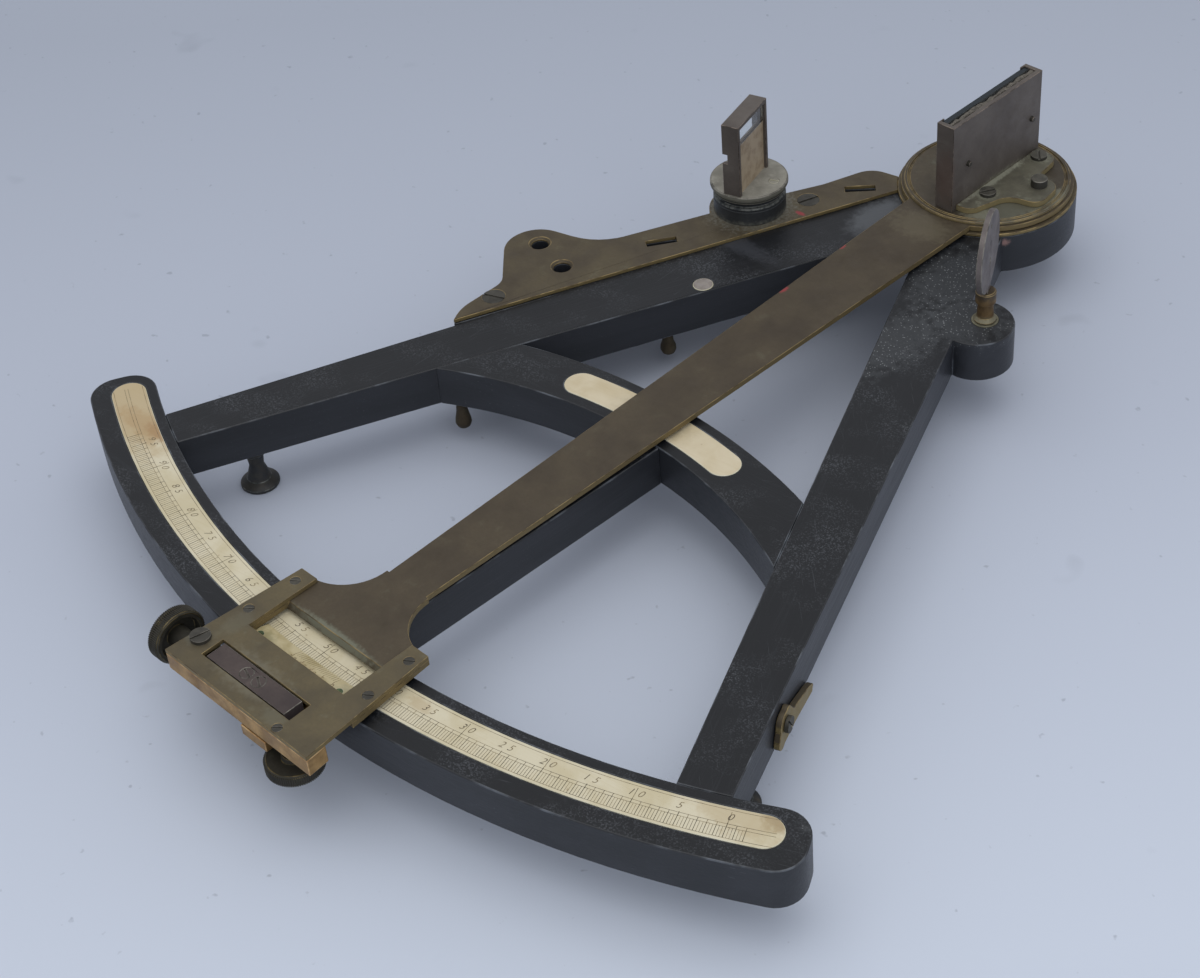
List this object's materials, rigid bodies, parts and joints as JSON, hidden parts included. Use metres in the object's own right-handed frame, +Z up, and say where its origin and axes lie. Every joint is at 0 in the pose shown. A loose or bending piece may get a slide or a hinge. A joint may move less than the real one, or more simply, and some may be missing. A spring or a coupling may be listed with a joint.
{
  "type": "octant",
  "caption": "Antique marine octant: ebony frame with ivory scale, brass index arm with vernier, tangent screw, clamp, index and horizon mirrors and a peep sight.",
  "frame": {"origin": "centre of the apex foot's lower face, on the surface under the pivot of the index arm", "axes": "+Z up out of the instrument's face along the pivot, +Y from the scale towards the apex, +X towards the scale's zero end"},
  "size_m": [0.2536, 0.3083, 0.0613],
  "materials": {
    "ebony": "near-black ebony, satin, dusty on top, worn pale edges",
    "ivory": "polished old ivory with fine engraved lines and numerals",
    "vernier_ivory": "yellowed ivory with green brass stains",
    "plug": "dull grey-pink round plug",
    "bronze": "dark turned bronze, worn on the rims",
    "patina_brass": "brass with an even olive-brown patina and bright worn edges",
    "copper_brass": "scratched red-gold brass",
    "dark_screws": "dark slotted heads",
    "gunmetal": "brass blackened to a brown gunmetal",
    "stage_brass": "brass with grey-green deposits",
    "knob_brass": "blackened brass with a fine knurl",
    "block_steel": "dark red-brown browned steel",
    "shaft_steel": "turned steel",
    "mirror_glass": "old silvered glass",
    "packing": "crumbling cork-like packing",
    "clear_glass": "clear glass, its lower half silvered and browned",
    "backing": "browned backing of the silvered half",
    "stem_brass": "golden brown turned brass",
    "sight_grey": "grey-brown tarnished disc"
  },
  "bodies": {
    "frame": {"arc_limb": "ebony", "left_limb": "ebony", "right_limb": "ebony", "apex_boss": "ebony", "cross_brace": "ebony", "centre_strut": "ebony", "scale_inlay": "ivory", "note_plate": "ivory", "limb_plug": "plug", "wear_plate": "patina_brass", "pivot_bush": "patina_brass", "pivot_cap": "bronze", "horizon_plate": "patina_brass", "plate_screws": "dark_screws", "horizon_collar": "gunmetal", "sight_socket": "patina_brass", "feet": "bronze", "stowage_pegs": "bronze", "keeper_screw": "dark_screws"},
    "index_arm": {"index_arm": "patina_brass", "mirror_table": "patina_brass", "pivot_shaft": "shaft_steel", "pivot_washer": "patina_brass", "pivot_nut": "patina_brass", "end_plate": "patina_brass", "side_screws": "dark_screws", "outer_bar": "copper_brass", "bar_screw": "dark_screws", "vernier": "vernier_ivory", "vernier_pins": "patina_brass", "tangent_bearing": "patina_brass", "bearing_screw": "dark_screws", "mirror_box": "gunmetal", "mirror_glass": "mirror_glass", "mirror_packing": "packing", "mirror_pins": "dark_screws", "mirror_bracket": "patina_brass", "bracket_screws": "dark_screws", "adjusting_screw": "dark_screws"},
    "tangent_screw": {"tangent_shaft": "shaft_steel", "tangent_knob": "knob_brass"},
    "clamp": {"slide_block": "block_steel", "slide_screws": "dark_screws", "clamp_body": "copper_brass", "clamp_leaf": "patina_brass", "leaf_screws": "dark_screws"},
    "clamp_screw": {"clamp_knob": "knob_brass"},
    "horizon": {"horizon_stage": "stage_brass", "horizon_frame": "gunmetal", "horizon_glass": "clear_glass", "horizon_backing": "backing", "stage_screw": "dark_screws", "horizon_shaft": "shaft_steel", "horizon_lever": "patina_brass", "lever_handle": "bronze", "lever_nut": "patina_brass"},
    "sight": {"sight_stem": "stem_brass", "sight_disc": "sight_grey"},
    "keeper": {"keeper": "patina_brass"}
  },
  "joints": [
    {"name": "index_turn", "type": "hinge", "parent": "frame", "child": "index_arm", "pos_m": [0, 0, 0.027], "axis": [0, 0, 1], "range_deg": [-22.8, 25.2]},
    {"name": "tangent_turn", "type": "hinge", "parent": "index_arm", "child": "tangent_screw", "pos_m": [-0.03, -0.272, 0.0248], "axis": [1, 0, 0], "range_deg": [-515, 1184]},
    {"name": "clamp_slide", "type": "slide", "parent": "index_arm", "child": "clamp", "axis": [1, 0, 0], "range_m": [-0.001, 0.0023]},
    {"name": "clamp_turn", "type": "hinge", "parent": "clamp", "child": "clamp_screw", "pos_m": [0.0128, -0.2752, 0.017], "axis": [0, 0, 1], "range_deg": [-30, 360]},
    {"name": "horizon_turn", "type": "hinge", "parent": "frame", "child": "horizon", "pos_m": [-0.0464, -0.0523, 0.034], "axis": [0, 0, 1], "range_deg": [-5, 9.5]},
    {"name": "sight_turn", "type": "hinge", "parent": "frame", "child": "sight", "pos_m": [0.0392, -0.0518, 0.03], "axis": [0, 0, 1], "continuous": true},
    {"name": "keeper_turn", "type": "hinge", "parent": "frame", "child": "keeper", "pos_m": [0.09187, -0.19617, 0.0209], "axis": [0.9263, 0.3767, 0], "range_deg": [-70, 30]}
  ],
  "couplings": [
    {"joint": "tangent_turn", "follows": "clamp_slide", "rad_per_m": 8976}
  ]
}
